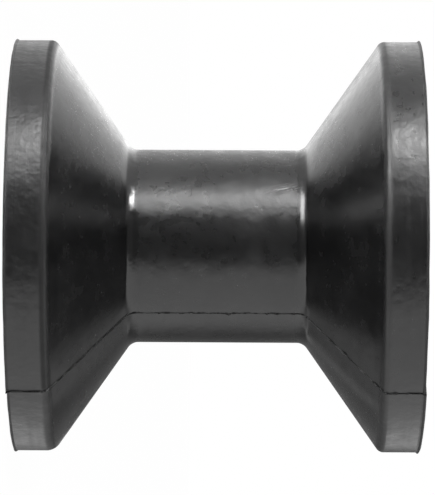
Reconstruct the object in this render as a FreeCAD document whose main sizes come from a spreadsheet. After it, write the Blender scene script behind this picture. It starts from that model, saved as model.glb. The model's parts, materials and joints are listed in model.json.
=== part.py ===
"""Boat trailer roller, moulded in one piece of black rubber.

A spool that turns on a bracket's pin. Two flat rims stand at the ends, two conical flanks run down
from them to a narrow core, and the boat's bow rests in the V between the flanks. The axis is Z, the
origin is on it at half length, and the mould's parting plane is the XZ plane.
"""

import FreeCAD, Part
import os
import Sketcher
from math import cos, radians, sin

# Driving dimensions, in millimetres
SIZES = {
    "rim_diameter": 76.2,  # across the flat bands
    "rim_width": 7.2,  # of one flat band, out to the corner with its flank
    "core_diameter": 35.8,
    "core_length": 31.8,  # from corner to corner, where the flanks begin
    "flank_run": 14.2,  # of one flank, along the axis
    "rim_round": 1.3,  # radius of the corner between rim and flank
    "worn_round": 2.5,  # of that corner on the back half's low rim, where the mould is worn
    "core_round": 2.2,  # radius of the corner between flank and core
    "lip_height": 0.28,  # the rim flares out this much at its outer edge
    "lip_width": 0.9,  # of the flare, along the axis
    "mould_mismatch": 0.2,  # the mould's back half stands this much higher
    "flash_height": 0.25,  # of the thin fin along the parting line
    "flash_width": 0.3,
    "shaft_diameter": 12.7,  # of the bracket's pin, which belongs to the trailer
    "shaft_clearance": 0.6,  # on the diameter
    "bore_chamfer": 0.6,
}

# Sizes that follow from the driving ones, as expressions on the sheet
RIM_RADIUS = "sizes.rim_diameter / 2"
RIM_ROUND = "sizes.rim_round"
WORN_ROUND = "sizes.worn_round"
CORE_RADIUS = "sizes.core_diameter / 2"
FLANK_ANGLE = f"atan(({RIM_RADIUS} - {CORE_RADIUS}) / sizes.flank_run)"  # from the axis
CORE_CORNER = "sizes.core_length / 2"
RIM_CORNER = f"({CORE_CORNER} + sizes.flank_run)"
HALF_LENGTH = f"({RIM_CORNER} + sizes.rim_width)"
BORE_RADIUS = "((sizes.shaft_diameter + sizes.shaft_clearance) / 2)"
BORE_MOUTH = f"({BORE_RADIUS} + sizes.bore_chamfer)"
BACK_END = f"({HALF_LENGTH} + sizes.mould_mismatch)"

HALF_TURN = 180
FULL_TURN = 360

# The ends of a sketch element, and the sketch's own origin and upright axis
START, END = 1, 2
ORIGIN = (-1, START)
UPRIGHT = -2


def fill_sheet(doc):
    """The spreadsheet: one row for each driving dimension."""
    sheet = doc.addObject("Spreadsheet::Sheet", "sizes")
    for row, (name, size) in enumerate(SIZES.items(), start=1):
        sheet.set(f"A{row}", name)
        sheet.set(f"B{row}", str(size))
        sheet.setAlias(f"B{row}", name)
    doc.recompute()
    return sheet


def origin_plane(body, role):
    return next(plane for plane in body.Origin.OriginFeatures if plane.Role == role)


class Drawing:
    """A sketch on the parting plane, with its x along the radius and its y along the axis.

    Each dimension of the drawing is tied to the sheet by its formula.
    """

    def __init__(self, body, sheet, name):
        self.sheet = sheet
        self.sketch = body.newObject("Sketcher::SketchObject", name)
        self.sketch.AttachmentSupport = [(origin_plane(body, "XZ_Plane"), "")]
        self.sketch.MapMode = "FlatFace"

    def value(self, formula):
        found = self.sheet.evalExpression(formula)
        return float(getattr(found, "Value", found))

    def rule(self, kind, *parts):
        return self.sketch.addConstraint(Sketcher.Constraint(kind, *parts))

    def size(self, name, kind, formula, *parts):
        index = self.rule(kind, *parts, self.value(formula))
        self.sketch.renameConstraint(index, name)
        self.sketch.setExpression(f"Constraints.{name}", formula)

    def across(self, name, formula, first, second):
        self.size(name, "DistanceX", formula, *first, *second)

    def along(self, name, formula, lower, upper):
        self.size(name, "DistanceY", formula, *lower, *upper)

    def line(self, first, last):
        ends = (FreeCAD.Vector(*first, 0), FreeCAD.Vector(*last, 0))
        return self.sketch.addGeometry(Part.LineSegment(*ends), False)

    def arc(self, centre, radius, first_angle, last_angle):
        circle = Part.Circle(FreeCAD.Vector(*centre, 0), FreeCAD.Vector(0, 0, 1), radius)
        piece = Part.ArcOfCircle(circle, radians(first_angle), radians(last_angle))
        return self.sketch.addGeometry(piece, False)

    def corner(self, place, first, second):
        """The sharp corner of two lines that a round cuts off, kept to measure from."""
        point = self.sketch.addGeometry(Part.Point(FreeCAD.Vector(*place, 0)), True)
        self.rule("PointOnObject", point, START, first)
        self.rule("PointOnObject", point, START, second)
        return (point, START)


def draw_spool(drawing, growth="0", low_round=RIM_ROUND):
    """Half section of the spool, from the axis out. Growth moves the outer line outwards."""
    shift = f"{growth} * tan({FLANK_ANGLE} / 2)"
    rim_radius = f"({RIM_RADIUS} + {growth})"
    core_radius = f"({CORE_RADIUS} + {growth})"
    rim_corner = f"({RIM_CORNER} - {shift})"
    core_corner = f"({CORE_CORNER} - {shift})"
    core_round = f"(sizes.core_round - {growth})"

    angle = drawing.value(FLANK_ANGLE)
    end_z, rim_z, core_z = map(drawing.value, (HALF_LENGTH, rim_corner, core_corner))
    rim_r, core_r = map(drawing.value, (rim_radius, core_radius))
    lip_height, lip_width = map(drawing.value, ("sizes.lip_height", "sizes.lip_width"))
    core_arc_r = drawing.value(core_round)
    core_reach = drawing.value(f"{core_round} * tan({FLANK_ANGLE} / 2)")
    slope_r, slope_z = sin(radians(angle)), cos(radians(angle))

    core = drawing.line((core_r, core_reach - core_z), (core_r, core_z - core_reach))
    axis = drawing.line((0, -end_z), (0, end_z))
    drawing.rule("Vertical", core)
    drawing.across("core_radius", core_radius, ORIGIN, (core, START))

    # The low side is the high side's mirror image, so its arcs run the other way round
    for side, word, spine_end, corner_round in (
        (-1, "low", START, low_round),
        (1, "high", END, RIM_ROUND),
    ):
        first, last = (START, END) if side < 0 else (END, START)
        rim_round = f"({corner_round} + {growth})"
        rim_arc_r = drawing.value(rim_round)
        rim_reach = drawing.value(f"{rim_round} * tan({FLANK_ANGLE} / 2)")
        lip = (rim_r + lip_height, side * end_z)
        lip_foot = (rim_r, side * (end_z - lip_width))
        rim_tip = (rim_r, side * (rim_z + rim_reach))
        flank_tip = (rim_r - rim_reach * slope_r, side * (rim_z - rim_reach * slope_z))
        flank_foot = (core_r + core_reach * slope_r, side * (core_z + core_reach * slope_z))
        rim_centre = (rim_r - rim_arc_r, rim_tip[1])
        core_centre = (core_r + core_arc_r, side * (core_z - core_reach))
        turn = sorted((0, -side * angle))

        end = drawing.line((0, side * end_z), lip)
        flare = drawing.line(lip, lip_foot)
        rim = drawing.line(lip_foot, rim_tip)
        rim_arc = drawing.arc(rim_centre, rim_arc_r, *turn)
        flank = drawing.line(flank_tip, flank_foot)
        core_arc = drawing.arc(core_centre, core_arc_r, *(HALF_TURN + bend for bend in turn))

        drawing.rule("Coincident", axis, spine_end, end, START)
        drawing.rule("Coincident", end, END, flare, START)
        drawing.rule("Coincident", flare, END, rim, START)
        drawing.rule("Tangent", rim, END, rim_arc, first)
        drawing.rule("Tangent", rim_arc, last, flank, START)
        drawing.rule("Tangent", flank, END, core_arc, last)
        drawing.rule("Tangent", core_arc, first, core, spine_end)
        drawing.rule("Horizontal", end)
        drawing.rule("Vertical", rim)
        drawing.rule("PointOnObject", end, START, UPRIGHT)
        rim_point = drawing.corner((rim_r, side * rim_z), rim, flank)
        core_point = drawing.corner((core_r, side * core_z), core, flank)

        for name, formula, point in (
            ("half_length", HALF_LENGTH, (end, START)),
            ("rim_corner", rim_corner, rim_point),
            ("core_corner", core_corner, core_point),
        ):
            drawing.along(f"{word}_{name}", formula, *(ORIGIN, point)[::side])
        drawing.along(f"{word}_lip_width", "sizes.lip_width", *((rim, START), (end, END))[::side])
        drawing.across(f"{word}_lip_height", "sizes.lip_height", (rim, START), (end, END))
        drawing.across(f"{word}_rim_radius", rim_radius, ORIGIN, (rim, START))
        drawing.size(f"{word}_rim_round", "Radius", rim_round, rim_arc)
        drawing.size(f"{word}_core_round", "Radius", core_round, core_arc)


def mould_half(body, sheet, name, backwards, low_round=RIM_ROUND):
    """One half of the spool, as one half of the mould shapes it."""
    drawing = Drawing(body, sheet, f"{name}_profile")
    draw_spool(drawing, low_round=low_round)
    half = body.newObject("PartDesign::Revolution", name)
    half.Profile = drawing.sketch
    half.ReferenceAxis = (drawing.sketch, ["V_Axis"])
    half.Angle = HALF_TURN
    half.Reversed = backwards
    return drawing.sketch


def flash(body, sheet):
    """The fin that rubber leaves in the mould's joint: over core, flanks and rims, on both sides."""
    drawing = Drawing(body, sheet, "flash_profile")
    draw_spool(drawing, growth="sizes.flash_height")
    fin = body.newObject("PartDesign::Pad", "flash")
    fin.Profile = drawing.sketch
    fin.SideType = "Symmetric"
    fin.setExpression("Length", "sizes.flash_width")
    far_side = body.newObject("PartDesign::Mirrored", "far_flash")
    far_side.Originals = [fin]
    far_side.MirrorPlane = (origin_plane(body, "YZ_Plane"), [""])
    body.Tip = far_side


def draw_bore(drawing):
    """Half section of the bore, with a chamfered mouth at each end face."""
    inner, mouth = map(drawing.value, (BORE_RADIUS, BORE_MOUTH))
    low, high = -drawing.value(HALF_LENGTH), drawing.value(BACK_END)
    chamfer = drawing.value("sizes.bore_chamfer")
    corners = (
        (0, low),
        (mouth, low),
        (inner, low + chamfer),
        (inner, high - chamfer),
        (mouth, high),
        (0, high),
    )
    lines = [drawing.line(*pair) for pair in zip(corners, corners[1:] + corners[:1])]
    for line, following in zip(lines, lines[1:] + lines[:1]):
        drawing.rule("Coincident", line, END, following, START)
    low_end, low_chamfer, wall, high_chamfer, high_end, axis = lines
    drawing.rule("Horizontal", low_end)
    drawing.rule("Horizontal", high_end)
    drawing.rule("Vertical", wall)
    drawing.rule("PointOnObject", axis, START, UPRIGHT)
    drawing.rule("PointOnObject", axis, END, UPRIGHT)
    drawing.along("low_end", HALF_LENGTH, (axis, END), ORIGIN)
    drawing.along("high_end", BACK_END, ORIGIN, (axis, START))
    drawing.along("low_chamfer", "sizes.bore_chamfer", (low_chamfer, START), (low_chamfer, END))
    drawing.along("high_chamfer", "sizes.bore_chamfer", (high_chamfer, START), (high_chamfer, END))
    drawing.across("bore_radius", BORE_RADIUS, ORIGIN, (wall, START))
    drawing.across("low_mouth", BORE_MOUTH, ORIGIN, (low_chamfer, START))
    drawing.across("high_mouth", BORE_MOUTH, ORIGIN, (high_chamfer, END))


def bore(body, sheet):
    drawing = Drawing(body, sheet, "bore_profile")
    draw_bore(drawing)
    hole = body.newObject("PartDesign::Groove", "bore")
    hole.Profile = drawing.sketch
    hole.ReferenceAxis = (drawing.sketch, ["V_Axis"])
    hole.Angle = FULL_TURN


def make_roller(doc, sheet):
    body = doc.addObject("PartDesign::Body", "roller")
    body.Label = "roller"
    mould_half(body, sheet, "front_half", backwards=True)
    back_profile = mould_half(body, sheet, "back_half", backwards=False, low_round=WORN_ROUND)
    back_profile.setExpression("AttachmentOffset.Base.y", "sizes.mould_mismatch")
    flash(body, sheet)
    bore(body, sheet)
    return body


def check(doc, body):
    """Stops with a plain message where a feature failed or the solid isn't one sound solid."""
    doc.recompute()
    for item in doc.Objects:
        if {"Invalid", "Error"} & set(item.State):
            raise RuntimeError(f"{item.Label} failed: {item.State}")
    for sketch in (item for item in doc.Objects if item.TypeId == "Sketcher::SketchObject"):
        if not sketch.FullyConstrained:
            raise RuntimeError(f"{sketch.Label} isn't fully constrained")
    shape = body.Shape
    if shape.isNull() or not shape.isValid() or len(shape.Solids) != 1:
        raise RuntimeError(f"{body.Label} isn't one sound solid")


def main():
    doc = FreeCAD.newDocument("boat_trailer_roller")
    sheet = fill_sheet(doc)
    roller = make_roller(doc, sheet)
    check(doc, roller)
    os.makedirs("parts", exist_ok=True)
    roller.Shape.exportStep(f"parts/{roller.Label}.step")
    box = roller.Shape.BoundBox
    print(f"{roller.Label}: {box.XLength:.2f} x {box.YLength:.2f} x {box.ZLength:.2f} mm", end=", ")
    print(f"{roller.Shape.Volume / 1000:.2f} cubic centimetres, {len(roller.Shape.Faces)} faces")


main()
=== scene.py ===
"""Looks of a boat trailer roller: a black rubber spool, as it comes out of its mould.

The roller stands on its end, with its axis along Z. The camera lies on its side, so that the axis
is level in the picture. Lengths are in metres.
"""

import json
import math

import bpy
import numpy as np
from bpy.props import FloatProperty, FloatVectorProperty, IntProperty, PointerProperty
from mathutils import Matrix, Vector

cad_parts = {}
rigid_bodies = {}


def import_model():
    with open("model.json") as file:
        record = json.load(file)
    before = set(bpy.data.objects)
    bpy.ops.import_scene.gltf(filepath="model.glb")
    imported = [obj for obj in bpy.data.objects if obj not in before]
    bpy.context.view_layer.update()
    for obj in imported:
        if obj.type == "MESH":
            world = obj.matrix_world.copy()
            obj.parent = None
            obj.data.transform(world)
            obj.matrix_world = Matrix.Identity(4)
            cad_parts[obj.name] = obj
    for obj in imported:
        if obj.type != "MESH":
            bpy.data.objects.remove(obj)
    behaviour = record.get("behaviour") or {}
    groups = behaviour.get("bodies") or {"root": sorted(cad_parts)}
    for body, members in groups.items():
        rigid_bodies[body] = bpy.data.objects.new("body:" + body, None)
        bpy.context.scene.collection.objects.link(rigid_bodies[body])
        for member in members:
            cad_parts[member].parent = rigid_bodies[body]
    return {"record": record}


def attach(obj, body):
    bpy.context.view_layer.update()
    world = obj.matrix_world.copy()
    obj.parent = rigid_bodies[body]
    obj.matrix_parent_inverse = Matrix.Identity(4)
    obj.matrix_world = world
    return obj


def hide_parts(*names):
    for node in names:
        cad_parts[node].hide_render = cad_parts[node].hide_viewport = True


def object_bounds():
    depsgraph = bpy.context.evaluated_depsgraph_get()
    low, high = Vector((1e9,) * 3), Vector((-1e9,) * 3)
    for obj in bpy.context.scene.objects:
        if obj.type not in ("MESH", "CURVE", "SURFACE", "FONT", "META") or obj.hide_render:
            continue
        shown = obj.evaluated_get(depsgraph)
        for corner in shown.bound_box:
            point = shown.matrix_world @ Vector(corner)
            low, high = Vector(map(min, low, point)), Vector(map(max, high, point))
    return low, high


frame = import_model()

bl_info = {
    "name": "Boat trailer roller",
    "version": (1, 0, 0),
    "blender": (4, 5, 0),
    "location": "View3D > Sidebar > Roller",
    "description": "Models a moulded rubber bow roller and the studio that it stands in",
    "category": "Object",
}

MM = 0.001
CAD_LOW, CAD_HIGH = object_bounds()
MOUNTS = {mount["name"]: mount for mount in frame["record"]["mounts"]}
BORE_RADIUS = MOUNTS["bore"]["dims"]["r_mm"] * MM

# The picture's long side, in pixels
PHOTO_HEIGHT = 495

# Where the core is scuffed, which way the scuffs run, and the way across them
SCUFF_PLACE = (3.45 * MM, -17.55 * MM, 11.9 * MM)
SCUFF_LINE = (-0.34, -0.05, 0.94)
SCUFF_WIDTH = (-0.93, -0.13, -0.34)

# Where zones of the skin begin or end, measured along the axis from the middle. Each has a soft edge
CORE_ENDS = (14 * MM, 15.2 * MM)
FLANK_BEGINS = (15.5 * MM, 17 * MM)
FLANK_ENDS = (29 * MM, 30 * MM)
RIM_BEGINS = (29.2 * MM, 29.8 * MM)
# Where the painted shade in the lower rim's corner begins
SHADED_CORNER_BEGINS = (29.9 * MM, 30.3 * MM)
RIM_CORNER_ENDS = (30.6 * MM, 31.2 * MM)
LIP_BEGINS = (36.6 * MM, 36.9 * MM)

# The same, measured from the axis
INNER_CORNER_ENDS = (18.8 * MM, 20.5 * MM)
POLISH_RISES = (20 * MM, 36 * MM)

# The same, measured from the parting plane
SEAM_ENDS = (0.1 * MM, 0.26 * MM)
WIDE_SEAM_ENDS = (0.2 * MM, 0.45 * MM)


def length(name, description, default):
    return FloatProperty(name=name, description=description, default=default, unit="LENGTH")


def share(name, description, default):
    return FloatProperty(
        name=name, description=description, default=default, min=0, max=1, subtype="FACTOR"
    )


def angle(name, description, degrees):
    return FloatProperty(
        name=name, description=description, default=math.radians(degrees), subtype="ANGLE"
    )


def tint(name, description, default):
    return FloatVectorProperty(
        name=name, description=description, default=default, size=3, min=0, max=1, subtype="COLOR"
    )


class RollerShape(bpy.types.PropertyGroup):
    """Sizes of the moulded spool."""

    rim_radius: length("Rim radius", "Radius of the flat bands at the ends", 38.1 * MM)
    rim_width: length("Rim width", "Width of a band, out to the corner with its flank", 7.2 * MM)
    core_radius: length("Core radius", "Radius of the narrow middle", 17.9 * MM)
    core_length: length("Core length", "Length between the corners of the flanks", 31.8 * MM)
    rim_round: length("Rim rounding", "Radius of the corner between rim and flank", 1.3 * MM)
    core_round: length("Core rounding", "Radius of the corner between flank and core", 2.2 * MM)
    worn_round: length("Worn rounding", "That corner's radius where the mould is worn", 2.5 * MM)
    edge_round: length("Edge rounding", "Radius of the outermost edges", 0.25 * MM)
    lip_height: length("Lip height", "How far the rim flares out at its outer edge", 0.35 * MM)
    lip_width: length("Lip width", "Width of the flare", 0.45 * MM)
    lip_waves: length("Lip waves", "How uneven the flare is", 0.25 * MM)
    lip_wave_length: length("Lip wave length", "Length of the flare's waves", 9 * MM)
    mismatch: length("Mould mismatch", "How much higher the mould's back half stands", 0.2 * MM)
    flash_height: length("Flash height", "Height of the fin along the parting line", 0.2 * MM)
    flash_width: length("Flash width", "Thickness of the fin along the parting line", 0.24 * MM)
    flash_rags: length("Flash rags", "How ragged the fin's edge is", 0.09 * MM)
    low_flash: share("Low flash", "Share of the fin's height on core and upper flank", 0.35)
    bore_chamfer: length("Bore chamfer", "Chamfer at each mouth of the bore", 0.6 * MM)
    ring_width: length("Ring width", "Width of the rings of faces on the outer skin", 0.6 * MM)
    columns: IntProperty(name="Columns", description="Faces round the roller", default=240, min=48)
    corner_faces: IntProperty(name="Corner faces", description="Faces across a corner", default=8, min=2)
    smoothing: angle("Smoothing", "Sharpest edge that is shaded smooth", 20)


class RubberFinish(bpy.types.PropertyGroup):
    """Colour and surface of the rubber, and of the shade painted on it."""

    clean: tint("Clean rubber", "Colour of the bare rubber", (0.0065, 0.0065, 0.0067))
    bloom: tint("Bloom", "Colour of the dull film that rubber sweats out", (0.016, 0.016, 0.0163))
    scraped: tint("Scraped rubber", "Colour of the rubber in the scuffs", (0.35, 0.35, 0.35))
    # The grime colour also paints the shade of the parting line's crevice
    grime_and_crevice_shade: tint("Grime", "Colour of the dirt in the parting line", (0.006, 0.006, 0.006))
    # Painted shade: a dark dull coat that hides reflections on the parting line and in one rim corner
    shade_paint: tint("Soot", "Colour of the dull crust on the parting line", (0.01, 0.01, 0.01))
    roughness: share("Roughness", "Roughness of the moulded skin", 0.29)


class Studio(bpy.types.PropertyGroup):
    """Camera, light and floor."""

    azimuth: angle("Azimuth", "Where the camera stands round the roller, from the front", 47)
    sidestep: angle("Sidestep", "How far the camera stands towards the upper end", 0.22)
    roll: angle("Roll", "How far the camera leans", 0.32)
    distance: length("Distance", "From the camera to the roller's middle", 0.608)
    lens: FloatProperty(name="Lens", description="Focal length", default=237.6, unit="CAMERA")
    sensor: FloatProperty(name="Sensor", description="Sensor width", default=36, unit="CAMERA")
    shift_right: FloatProperty(name="Shift right", description="Lens shift, in pixels", default=0.6)
    shift_up: FloatProperty(name="Shift up", description="Lens shift, in pixels", default=-1.26)
    key_height: angle("Key height", "Angle of the soft box above the camera", 57)
    key_power: FloatProperty(name="Key power", description="Soft box", default=3.05, unit="POWER")
    key_lean: angle("Key lean", "How much higher the soft box's right end stands", 18)
    key_length: length("Key length", "Soft box's length along the roller's axis", 0.6)
    key_depth: length("Key depth", "Soft box's width", 0.22)
    key_distance: length("Key distance", "From the roller to the soft box", 0.55)
    key_side: length("Key side", "How far the soft box stands to the picture's right", 0.08)
    plain: share("Plain light", "Light from all round", 0.5)
    card_angle: angle("Card angle", "Angle of the shaded card above the camera", -132)
    card_distance: length("Card distance", "From the roller's axis to the shaded card", 0.085)
    card_length: length("Card length", "The card's length along the roller's axis", 0.06)
    card_depth: length("Card depth", "The card's width", 0.15)
    floor_size: length("Floor size", "Length of the floor's sides", 4)
    floor_paint: tint("Floor paint", "Colour of the floor", (0.88, 0.88, 0.88))


def coordinates(items, name="co"):
    values = np.empty(3 * len(items))
    items.foreach_get(name, values)
    return values.reshape(-1, 3)


def radii(points):
    return np.hypot(points[:, 0], points[:, 1])


def heights(points):
    return np.abs(points[:, 2])


def edit():
    bpy.ops.object.mode_set(mode="EDIT")


def leave_edit():
    bpy.ops.object.mode_set(mode="OBJECT")


def pick(piece, kind, test):
    """Selects the vertices, edges or faces that pass the test, and enters edit mode.

    The test gets arrays: a vertex's place, an edge's two places, or a face's centre and normal.
    """
    mesh = piece.data
    points = coordinates(mesh.vertices)
    marked = np.zeros(len(points), dtype=bool)
    if kind == "VERT":
        items = mesh.vertices
        chosen = marked = test(points)
    elif kind == "EDGE":
        items = mesh.edges
        ends = np.empty(2 * len(items), dtype=int)
        items.foreach_get("vertices", ends)
        ends = ends.reshape(-1, 2)
        chosen = test(points[ends[:, 0]], points[ends[:, 1]])
        marked[ends[chosen].ravel()] = True
    else:
        items = mesh.polygons
        chosen = test(coordinates(items, "center"), coordinates(items, "normal"))
    for group in (mesh.vertices, mesh.edges, mesh.polygons):
        group.foreach_set("select", np.zeros(len(group), dtype=bool))
    mesh.vertices.foreach_set("select", marked)
    items.foreach_set("select", chosen)
    bpy.context.tool_settings.mesh_select_mode = [kind == k for k in ("VERT", "EDGE", "FACE")]
    edit()


def cut(place, normal):
    """A straight cut through the whole piece."""
    bpy.ops.mesh.select_all(action="SELECT")
    bpy.ops.mesh.bisect(plane_co=place, plane_no=normal, threshold=0.001 * MM)


class RollerBody:
    """The moulded spool, made from one round bar."""

    # Lengths under this are the same place
    near = 0.01 * MM
    # A face is part of an end where its normal is more along the axis than this
    end_normal = 0.9
    # The fin's thickness at its edge, and how much of that edge isn't torn, as shares
    fin_taper = 0.3
    fin_whole = 0.93

    def __init__(self, shape):
        self.shape = shape
        self.half_length = (CAD_HIGH.z - CAD_LOW.z - shape.mismatch) / 2
        self.lip = self.half_length - shape.lip_width
        self.rim_corner = self.half_length - shape.rim_width
        self.core_corner = shape.core_length / 2
        self.skin = shape.core_radius - self.near
        rise = shape.rim_radius - shape.core_radius
        self.slope = math.atan2(rise, self.rim_corner - self.core_corner)

    def turn(self):
        """Cuts the bar into rings and draws them in to the spool's outline."""
        shape = self.shape
        bpy.ops.object.select_all(action="DESELECT")
        bpy.ops.mesh.primitive_cylinder_add(
            vertices=shape.columns, radius=shape.rim_radius, depth=2 * self.half_length
        )
        self.piece = bpy.context.object
        self.piece.name = "moulded_roller"
        edit()
        for height in (self.lip, self.lip - shape.ring_width, self.rim_corner, self.core_corner):
            cut((0, 0, height), (0, 0, 1))
            cut((0, 0, -height), (0, 0, 1))
        leave_edit()
        pick(self.piece, "VERT", lambda p: heights(p) < self.core_corner + self.near)
        self.spread(shape.core_radius / shape.rim_radius)
        pick(self.piece, "VERT", lambda p: heights(p) > self.half_length - self.near)
        self.spread(1 + shape.lip_height / shape.rim_radius)

    def spread(self, factor):
        bpy.ops.transform.resize(value=(factor, factor, 1), center_override=(0, 0, 0))
        leave_edit()

    def bore(self):
        """Insets both ends to the bore's chamfered mouth, and bridges them through."""
        shape = self.shape
        mouth = BORE_RADIUS + shape.bore_chamfer
        end_radius = shape.rim_radius + shape.lip_height
        flat = math.cos(math.pi / shape.columns)
        pick(self.piece, "FACE", lambda centre, normal: heights(normal) > self.end_normal)
        bpy.ops.mesh.inset(thickness=(end_radius - mouth) * flat)
        bpy.ops.mesh.inset(thickness=shape.bore_chamfer * flat, depth=-shape.bore_chamfer)
        bpy.ops.mesh.bridge_edge_loops()
        leave_edit()

    def round_corners(self):
        """Rounds the corners of rims, flanks and core, and the outermost edges."""
        shape = self.shape
        widest = shape.worn_round * math.tan(self.slope / 2)
        common = shape.rim_round / shape.worn_round
        self.weigh_rings(self.rim_corner, common)
        self.weigh_rings(self.rim_corner, 1 - common, worn=True)
        self.weigh_rings(self.core_corner, shape.core_round / shape.worn_round)
        self.weigh_rings(self.half_length, shape.edge_round / widest)
        bevel = self.piece.modifiers.new("corners", "BEVEL")
        bevel.limit_method = "WEIGHT"
        bevel.use_clamp_overlap = False
        bevel.width = widest
        bevel.segments = shape.corner_faces
        bpy.ops.object.modifier_apply(modifier=bevel.name)

    def weigh_rings(self, height, weight, worn=False):
        """Adds to the bevel weight of the edges round both ends, or of the worn ones alone."""

        def in_ring(first, last):
            level = np.abs(first[:, 2] - last[:, 2]) < self.near
            there = np.abs(heights(first) - height) < self.near
            back_low = (first[:, 2] < 0) & (np.minimum(first[:, 1], last[:, 1]) > -self.near)
            return level & there & (radii(first) > self.skin) & (back_low | (not worn))

        pick(self.piece, "EDGE", in_ring)
        bpy.ops.transform.edge_bevelweight(value=weight)
        leave_edit()

    def cut_rings(self):
        """Cuts rims, flanks and core into narrow rings of faces."""
        shape = self.shape
        end = self.half_length - shape.edge_round - self.near
        while True:
            points = coordinates(self.piece.data.vertices)
            outer = points[(radii(points) > self.skin) & (heights(points) < end)]
            levels = np.unique(np.round(outer[:, 2] / self.near) * self.near)
            gaps = np.diff(levels)
            wide = int(np.argmax(gaps))
            if gaps[wide] < 2 * shape.ring_width:
                break
            low, high = levels[wide] - self.near, levels[wide + 1] + self.near

            def crosses(first, last):
                lower = np.minimum(first[:, 2], last[:, 2])
                upper = np.maximum(first[:, 2], last[:, 2])
                outside = np.minimum(radii(first), radii(last)) > self.skin
                spans = upper - lower > gaps[wide] / 2
                return outside & spans & (lower > low) & (upper < high)

            pick(self.piece, "EDGE", crosses)
            bpy.ops.mesh.subdivide(number_cuts=round(gaps[wide] / shape.ring_width) - 1)
            leave_edit()

    def part(self):
        """Raises a ragged fin along the parting plane, and shifts the back half."""
        shape = self.shape
        half_width = shape.flash_width / 2
        edit()
        for side in (-1, 1):
            cut((0, side * half_width, 0), (0, 1, 0))
        leave_edit()

        def in_strip(centre, normal):
            within = np.abs(centre[:, 1]) < half_width
            outside = radii(centre) > self.skin - self.near
            return within & outside & (heights(normal) < self.end_normal)

        pick(self.piece, "FACE", in_strip)
        bpy.ops.mesh.extrude_region_shrink_fatten(
            TRANSFORM_OT_shrink_fatten={"value": shape.flash_height}
        )
        bpy.ops.transform.resize(value=(1, self.fin_taper, 1), center_override=(0, 0, 0))
        bpy.ops.transform.vertex_random(offset=shape.flash_rags, uniform=0.3, normal=0.7, seed=4)
        bpy.ops.mesh.select_mode(type="VERT")
        bpy.ops.mesh.select_random(ratio=self.fin_whole, seed=11, action="DESELECT")
        bpy.ops.transform.shrink_fatten(value=2 * shape.flash_rags)
        leave_edit()
        self.lower_fin(half_width - self.near)
        pick(self.piece, "VERT", lambda p: p[:, 1] > half_width - self.near)
        bpy.ops.transform.translate(value=(0, 0, shape.mismatch))
        leave_edit()

    def lower_fin(self, fin_side):
        """Lowers the fin on the core and on the upper flank."""

        def on_fin(points):
            return (np.abs(points[:, 1]) < fin_side) & (radii(points) > self.skin)

        def on_core_fin(points):
            return on_fin(points) & (heights(points) < self.core_corner)

        def on_high_flank_fin(points):
            flank = (points[:, 2] > self.core_corner) & (points[:, 2] < self.rim_corner)
            return on_fin(points) & flank

        lowered = (1 - self.shape.low_flash) * self.shape.flash_height
        pick(self.piece, "VERT", on_core_fin)
        self.spread(1 - lowered / self.shape.core_radius)
        pick(self.piece, "VERT", on_high_flank_fin)
        bpy.ops.transform.translate(value=(0, 0, lowered / math.sin(self.slope)))
        leave_edit()

    def pull_from_mould(self):
        """Makes the lips uneven, as pulling soft rubber from its mould does."""
        shape = self.shape

        def on_lip(points):
            return (heights(points) > self.lip) & (radii(points) > shape.rim_radius + self.near)

        pick(self.piece, "VERT", on_lip)
        bpy.ops.object.vertex_group_assign_new()
        leave_edit()
        noise = bpy.data.textures.new("lip_waves", "CLOUDS")
        noise.noise_scale = shape.lip_wave_length
        waves = self.piece.modifiers.new("lip_waves", "DISPLACE")
        waves.texture = noise
        waves.vertex_group = self.piece.vertex_groups[-1].name
        waves.strength = shape.lip_waves
        bpy.ops.object.modifier_apply(modifier=waves.name)


class ROLLER_OT_body(bpy.types.Operator):
    """Models the moulded spool with its bore, parting line and flash"""

    bl_idname = "roller.body"
    bl_label = "Roller body"

    def execute(self, context):
        body = RollerBody(context.scene.roller_shape)
        body.turn()
        body.bore()
        body.round_corners()
        body.cut_rings()
        body.part()
        body.pull_from_mould()
        bpy.ops.object.shade_smooth_by_angle(angle=body.shape.smoothing)
        body.piece.data.materials.append(moulded_rubber(context.scene.rubber_finish))
        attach(body.piece, "root")
        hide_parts("roller")
        return {"FINISHED"}


class Value:
    """A socket that stands in Python expressions, where each operation adds its Math node."""

    def __init__(self, shading, socket):
        self.shading = shading
        self.socket = socket

    def __add__(self, other):
        return self.shading.math("ADD", self, other)

    __radd__ = __add__

    def __sub__(self, other):
        return self.shading.math("SUBTRACT", self, other)

    def __rsub__(self, other):
        return self.shading.math("SUBTRACT", other, self)

    def __mul__(self, other):
        return self.shading.math("MULTIPLY", self, other)

    __rmul__ = __mul__

    def __abs__(self):
        return self.shading.math("ABSOLUTE", self)


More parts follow.
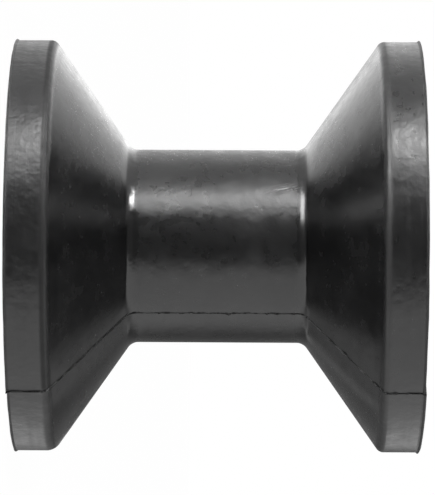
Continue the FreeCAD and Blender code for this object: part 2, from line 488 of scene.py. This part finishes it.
class Shading:
    """The nodes of one material or world."""

    def __init__(self, owner):
        owner.use_nodes = True
        self.tree = owner.node_tree
        self.tree.nodes.clear()

    def node(self, kind, settings=None, values=None, output=0):
        """Adds a node. Settings are its properties, values go into its sockets by name or number."""
        made = self.tree.nodes.new(f"ShaderNode{kind}")
        for name, setting in (settings or {}).items():
            setattr(made, name, setting)
        for name, value in (values or {}).items():
            if isinstance(value, Value):
                self.tree.links.new(value.socket, made.inputs[name])
            else:
                made.inputs[name].default_value = value
        return Value(self, made.outputs[output]) if made.outputs else made

    def outputs(self, kind, names, values=None):
        """Adds a node and gives several of its outputs."""
        made = self.node(kind, values=values).socket.node
        return [Value(self, made.outputs[name]) for name in names]

    def math(self, operation, *values):
        return self.node("Math", {"operation": operation}, dict(enumerate(values)))

    def step(self, value, low, high):
        """Rises smoothly from 0 at low to 1 at high."""
        ramp = {"Value": value, "From Min": low, "From Max": high}
        return self.node("MapRange", {"interpolation_type": "SMOOTHSTEP"}, ramp)

    def band(self, value, rise, fall):
        """Is 1 from the end of the rise to the start of the fall."""
        return self.step(value, *rise) - self.step(value, *fall)

    def line(self, value, full, none):
        """Is 1 where the value is close to zero, and fades out on both sides."""
        return 1 - self.step(abs(value), full, none)

    def dot(self, vector, direction):
        settings = {"operation": "DOT_PRODUCT"}
        return self.node("VectorMath", settings, {0: vector, 1: direction}, output="Value")

    def blend(self, share, first, last):
        """Goes from the first colour to the last."""
        values = {"Factor": share, 6: first, 7: last}
        return self.node("Mix", {"data_type": "RGBA"}, values, output=2)

    def noise(self, place, size, detail=2, **more):
        """Noise with grains of a size in metres, from 0 to 1."""
        values = {"Vector": place, "Scale": 1 / size, "Detail": detail, **more}
        return self.node("TexNoise", values=values)


class SkinZones:
    """Masks from 0 to 1 that tell which part of the spool a place is on."""

    def __init__(self, shading, place):
        depth, across, height = shading.outputs("SeparateXYZ", "XYZ", {"Vector": place})
        radius = shading.math("SQRT", depth * depth + across * across)
        level = abs(height)
        self.across = across
        self.height = height
        self.turn = shading.math("ARCTAN2", across, depth)
        self.polish = shading.step(radius, *POLISH_RISES)
        self.outside = shading.step(level, *CORE_ENDS)
        self.inner_corner = self.outside * (1 - shading.step(radius, *INNER_CORNER_ENDS))
        self.flank = shading.band(level, FLANK_BEGINS, FLANK_ENDS)
        self.rim = shading.step(level, *RIM_BEGINS)
        self.rim_corner = self.rim - shading.step(level, *RIM_CORNER_ENDS)
        self.lip = shading.step(level, *LIP_BEGINS)
        self.low_half = shading.step(0 - height, 0, MM)
        front_half = shading.step(0 - across, 0, MM)
        # Painted shade on the front half of the lower rim's corner
        self.shaded_corner = shading.step(0 - height, *SHADED_CORNER_BEGINS) * self.rim_corner * front_half
        self.seam = shading.line(across, *SEAM_ENDS)
        self.wide_seam = shading.line(across, *WIDE_SEAM_ENDS)


def scuff_marks(shading, place):
    """The scuffs on the core, and the gash among them."""
    away = shading.node("VectorMath", {"operation": "SUBTRACT"}, {0: place, 1: SCUFF_PLACE})
    along, aside = shading.dot(away, SCUFF_LINE), shading.dot(away, SCUFF_WIDTH)
    lengthwise, crosswise = 260, 3200
    slanted = shading.node("CombineXYZ", values={"X": along * lengthwise, "Y": aside * crosswise})
    strokes = shading.node("TexNoise", values={"Vector": slanted, "Scale": 1, "Detail": 1})
    scuffs = shading.step(strokes, 0.52, 0.62) * shading.line(aside, 0.4 * MM, 1.5 * MM)
    scuffs = scuffs * shading.line(along, 1.5 * MM, 4 * MM)
    gash = shading.line(aside + along * 0.1, 0.1 * MM, 0.3 * MM)
    gash = gash * shading.line(along, 0.7 * MM, 1.6 * MM)
    return scuffs, gash


def seam_grime_and_shade(shading, place, zones):
    """Grime and painted crevice shade in the parting line, and painted shade as a dark dull coat on it
    and in one rim corner.
    """
    wobble = shading.noise(place, 2 * MM, detail=3)
    # Grime along the parting line, with painted shade of its crevice, fainter on the high flank
    grime_and_shade = zones.seam * (0.3 + 0.7 * shading.step(wobble, 0.45, 0.6))
    grime_and_shade = grime_and_shade * (1 - zones.flank * (1 - zones.low_half) * 0.85)
    # Spots of painted shade along the seam, away from the flanks and rims
    shaded_spots = zones.wide_seam * (1 - zones.flank) * (1 - zones.rim) * shading.step(wobble, 0.54, 0.6)
    # Painted shade as a dark dull coat: on the low half's seam, in those spots, and in one rim corner
    painted_shade = zones.seam * zones.low_half * (0.1 * zones.rim + 0.4 * zones.flank) + shaded_spots * 0.6
    painted_shade = painted_shade * (1 - shading.step(zones.across, 0, 0.1 * MM)) + zones.shaded_corner * 0.45
    return grime_and_shade, painted_shade


def moulded_rubber(finish):
    """Black rubber with a dull film, a faint grain, tool marks, a few scuffs, seam grime and painted
    shade.
    """
    material = bpy.data.materials.new("moulded_rubber")
    shading = Shading(material)
    place = shading.node("TexCoord", output="Object")
    zones = SkinZones(shading, place)
    polish, flank, rim, low_half = zones.polish, zones.flank, zones.rim, zones.low_half
    scuffs, gash = scuff_marks(shading, place)
    grime_and_shade, painted_shade = seam_grime_and_shade(shading, place, zones)

    patches = shading.noise(place, 14 * MM, detail=5, Distortion=0.6)
    film = shading.step(patches, 0.42, 0.72)
    swells = shading.noise(place, 6.5 * MM, detail=1)
    mottle = shading.noise(place, 3.2 * MM, detail=1)
    pits = shading.noise(place, 1.3 * MM, detail=1)
    grain = shading.noise(place, 0.45 * MM, detail=3)
    # Fine rings round the roller, left by the turning of its mould
    stretched = {"X": zones.turn * 0.4, "Y": zones.height * 800, "Z": 0.5}
    around = shading.node("CombineXYZ", values=stretched)
    rings = shading.node("TexNoise", values={"Vector": around, "Scale": 1, "Detail": 2})

    colour = shading.blend(film * 0.6, (*finish.clean, 1), (*finish.bloom, 1))
    colour = shading.blend(scuffs * 0.2 + gash * 0.7, colour, (*finish.scraped, 1))
    # Grime and painted crevice shade in the parting line
    colour = shading.blend(grime_and_shade, colour, (*finish.grime_and_crevice_shade, 1))

    roughness = finish.roughness + (mottle - 0.5) * 0.16 + film * 0.05 - polish * 0.03
    roughness = roughness + (rings - 0.5) * (0.06 + polish * 0.14) + grime_and_shade * 0.3 + scuffs * 0.1
    roughness = roughness + (pits - 0.5) * 0.15
    roughness = roughness + rim * (0.05 + low_half * 0.04) + zones.seam * (zones.outside - rim) * 0.4
    roughness = roughness - zones.inner_corner * 0.1 + zones.rim_corner * 0.15
    roughness = roughness + zones.lip * 0.2 - flank * 0.05
    relief = swells * (0.1 - polish * 0.06) + mottle * (0.08 + polish * 0.01)
    relief = relief + pits * (0.04 + polish * 0.01 + rim * low_half * 0.035) + grain * 0.013
    relief = relief * (1 - flank * 0.75) + rings * (0.01 + rim * low_half * 0.035)
    relief = relief + scuffs * 0.02 - gash * 0.12
    bumps = shading.node("Bump", values={"Strength": 1, "Distance": MM, "Height": relief})
    shader = shading.node(
        "BsdfPrincipled", values={"Base Color": colour, "Roughness": roughness, "Normal": bumps}
    )
    # Painted shade: a dark diffuse coat that hides the reflections
    shade_paint = shading.node("BsdfDiffuse", values={"Color": (*finish.shade_paint, 1)})
    surface = shading.node("MixShader", values={0: painted_shade, 1: shader, 2: shade_paint})
    shading.node("OutputMaterial", values={"Surface": surface})
    return material


class PhotoView:
    """The picture's right, up and back directions. Right is the roller's axis."""

    def __init__(self, studio):
        self.back = Vector((math.sin(studio.azimuth), -math.cos(studio.azimuth), 0))
        self.right = Vector((0, 0, 1))
        self.up = self.back.cross(self.right)

    def raised(self, height):
        """A direction from the roller, at an angle above the camera."""
        return self.back * math.cos(height) + self.up * math.sin(height)


def aim(thing, place, right, back):
    """Puts a lamp, card or camera at a place, with its back along a direction."""
    back = back.normalized()
    up = back.cross(right).normalized()
    turned = Matrix((up.cross(back), up, back)).transposed().to_4x4()
    thing.matrix_world = Matrix.Translation(place) @ turned


class ROLLER_OT_studio(bpy.types.Operator):
    """Sets up the floor, the lights and the camera"""

    bl_idname = "roller.studio"
    bl_label = "Studio"

    def execute(self, context):
        self.scene = context.scene
        self.studio = context.scene.studio
        self.view = PhotoView(self.studio)
        self.floor()
        self.surroundings()
        self.soft_box()
        self.shaded_card()
        self.camera()
        self.scene.view_settings.view_transform = "Standard"
        return {"FINISHED"}

    def floor(self):
        bpy.ops.object.select_all(action="DESELECT")
        bpy.ops.mesh.primitive_plane_add(size=self.studio.floor_size, location=(0, 0, CAD_LOW.z))
        plane = bpy.context.object
        plane.name = "studio_floor"
        plane.visible_glossy = False
        plane.data.materials.append(white_board(self.studio.floor_paint))

    def surroundings(self):
        """White behind the roller, and in its reflections a dark room where the camera stands.

        Heights are in degrees above the camera. Right goes from -1 to 1 along the roller's axis.
        """
        world = bpy.data.worlds.new("studio")
        world.cycles.sampling_method = "NONE"
        self.scene.world = world
        shading = Shading(world)
        direction = shading.node("TexCoord", output="Generated")
        front = shading.dot(direction, self.view.back)
        up = shading.dot(direction, self.view.up)
        right = shading.dot(direction, self.view.right)
        side = abs(right)
        height = shading.math("ARCTAN2", up, front) * math.degrees(1)
        # Brightness of the room's parts, then of its two lamps, and where table and ceiling end
        room, corner, ceiling, wall, lit_wall, table = 0.14, 0.15, 0.97, 2.1, 0.9, 1.65
        high_light, low_light = 45, 18
        table_edge, ceiling_edge = (-31, -17), (42, 62)
        behind = 1 - shading.step(front, -0.2, 0.1)
        table = table * (1 - 0.62 * behind * shading.step(side, 0.3, 0.6))
        lit_wall = lit_wall * (1 - 0.85 * shading.step(side, 0.1, 0.3))
        level = (
            corner
            + (table - corner) * shading.step(height, -156, -142)
            - (table - room) * shading.step(height, *table_edge)
            + (ceiling - room) * shading.step(height, *ceiling_edge)
            + (wall - ceiling) * shading.step(height, 125, 165) * shading.step(side, 0.05, 0.3)
            + lit_wall * shading.step(height, 112, 122) * shading.step(right, -0.12, 0.15)
        )
        below = shading.step(0 - right, 0, 0.2) * shading.step(0 - height, 90, 130)
        reach = side - 0.05 * shading.step(right, 0, 0.2) - 0.09 * below
        level = level * (1 - 0.93 * behind * shading.step(reach, 0.68, 0.84))
        before = shading.band(height, table_edge, ceiling_edge)
        level = level + before * 0.12 * shading.step(side, 0.2, 0.5)
        high_pane = shading.band(right, (0.13, 0.25), (0.6, 0.7))
        high_pane = high_pane * shading.band(height, (53, 59), (65, 71))
        low_pane = shading.band(0 - right, (0.34, 0.46), (0.66, 0.78))
        low_pane = low_pane * shading.band(height, (28, 50), (68, 77))
        reflected = level + high_pane * high_light + low_pane * low_light
        glossy, camera, clear = shading.outputs(
            "LightPath", ("Is Glossy Ray", "Is Camera Ray", "Is Transmission Ray")
        )
        plain = self.studio.plain
        strength = glossy * (reflected - plain) + (camera + clear) * (1 - plain) + plain
        white = {"Color": (1, 1, 1, 1), "Strength": strength}
        background = shading.node("Background", values=white)
        shading.node("OutputWorld", values={"Surface": background})

    def soft_box(self):
        lamp = bpy.data.lights.new("soft_box", "AREA")
        lamp.shape = "RECTANGLE"
        lamp.size = self.studio.key_length
        lamp.size_y = self.studio.key_depth
        lamp.energy = self.studio.key_power
        box = bpy.data.objects.new("soft_box", lamp)
        self.scene.collection.objects.link(box)
        direction = self.view.raised(self.studio.key_height)
        place = direction * self.studio.key_distance + self.view.right * self.studio.key_side
        aim(box, place, self.view.right + self.view.up * math.tan(self.studio.key_lean), direction)

    def shaded_card(self):
        """A card below and behind the core, in whose underside it shows as the shaded table."""
        bpy.ops.object.select_all(action="DESELECT")
        bpy.ops.mesh.primitive_plane_add(size=1)
        card = bpy.context.object
        card.name = "shaded_card"
        direction = self.view.raised(self.studio.card_angle)
        aim(card, direction * self.studio.card_distance, self.view.right, -direction)
        card.scale = (self.studio.card_length, self.studio.card_depth, 1)
        card.visible_camera = False
        card.visible_diffuse = False
        card.visible_shadow = False
        card.data.materials.append(fading_card())

    def camera(self):
        studio, view = self.studio, self.view
        photo = bpy.data.cameras.new("photo")
        photo.lens = studio.lens
        photo.sensor_width = studio.sensor
        photo.shift_x = studio.shift_right / PHOTO_HEIGHT
        photo.shift_y = studio.shift_up / PHOTO_HEIGHT
        camera = bpy.data.objects.new("photo", photo)
        self.scene.collection.objects.link(camera)
        back = view.back * math.cos(studio.sidestep) + view.right * math.sin(studio.sidestep)
        right = view.right * math.cos(studio.roll) + view.up * math.sin(studio.roll)
        aim(camera, back * studio.distance, right, back)
        self.scene.camera = camera


def white_board(colour):
    """A painted floor, which the camera sees mostly as a white glow, with little of its shadow."""
    glow_strength, glow_share = 1.01, 0.97
    material = bpy.data.materials.new("white_board")
    shading = Shading(material)
    paint = shading.node("BsdfDiffuse", values={"Color": (*colour, 1)})
    glow = shading.node("Emission", values={"Strength": glow_strength})
    camera, clear = shading.outputs("LightPath", ("Is Camera Ray", "Is Transmission Ray"))
    both = shading.node("MixShader", values={0: (camera + clear) * glow_share, 1: paint, 2: glow})
    shading.node("OutputMaterial", values={"Surface": both})
    return material


def fading_card():
    """Goes from the table's brightness, on its front edge, to deep shade, less so at its left end."""
    material = bpy.data.materials.new("fading_card")
    shading = Shading(material)
    place = shading.node("TexCoord", output="Object")
    side, depth = shading.outputs("SeparateXYZ", "XY", {"Vector": place})
    shade = 1.1 * shading.step(depth, -0.49, -0.11)
    level = 1.3 - shade + 0.3 * shading.step(0 - side, 0.32, 0.42)
    glow = shading.node("Emission", values={"Color": level})
    shading.node("OutputMaterial", values={"Surface": glow})
    return material


class ROLLER_PT_panel(bpy.types.Panel):
    """Lists what the add-on makes"""

    bl_label = "Boat trailer roller"
    bl_idname = "ROLLER_PT_panel"
    bl_space_type = "VIEW_3D"
    bl_region_type = "UI"
    bl_category = "Roller"

    def draw(self, context):
        for operator in OPERATORS:
            self.layout.operator(operator.bl_idname)


GROUPS = {"roller_shape": RollerShape, "rubber_finish": RubberFinish, "studio": Studio}
OPERATORS = (ROLLER_OT_body, ROLLER_OT_studio)
CLASSES = (*GROUPS.values(), *OPERATORS, ROLLER_PT_panel)


def register():
    for known in CLASSES:
        bpy.utils.register_class(known)
    for name, group in GROUPS.items():
        setattr(bpy.types.Scene, name, PointerProperty(type=group))


def unregister():
    for name in GROUPS:
        delattr(bpy.types.Scene, name)
    for known in reversed(CLASSES):
        bpy.utils.unregister_class(known)


def main():
    register()
    bpy.ops.roller.body()
    bpy.ops.roller.studio()


if __name__ == "__main__":
    main()
